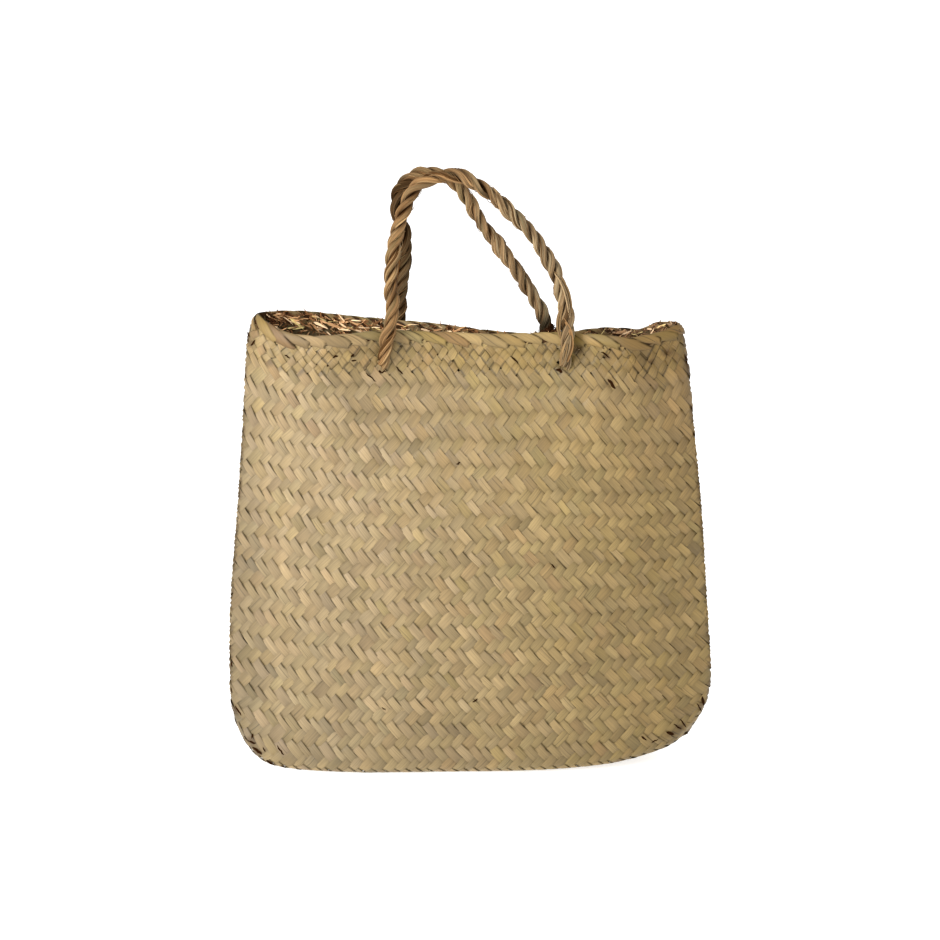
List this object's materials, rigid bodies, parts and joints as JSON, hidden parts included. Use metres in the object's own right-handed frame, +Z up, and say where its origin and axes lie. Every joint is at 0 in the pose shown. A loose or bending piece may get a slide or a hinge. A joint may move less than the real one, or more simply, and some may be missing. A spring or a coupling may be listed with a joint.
{
  "type": "flax bag",
  "caption": "Hollow woven flax tote bag that stands on a flat oval base, with a plaited rim and rope carrying handles knotted inside the wall.",
  "frame": {"origin": "middle of the base, on the surface that the bag stands on", "axes": "+X across the bag to the right seen from the front, -Y towards the front, +Z up"},
  "size_m": [0.3996, 0.0822, 0.4902],
  "materials": {
    "woven_flax": "dry straw-coloured flax strip in a diagonal twill weave, satin",
    "plaited_rim": "dry flax strip in a plaited edge, satin",
    "flax_rope": "twisted flax fibre rope, matt"
  },
  "bodies": {
    "root": {"bag_body": "woven_flax", "rim_plait": "plaited_rim", "handle_front": "flax_rope", "handle_back": "flax_rope"}
  },
  "joints": []
}
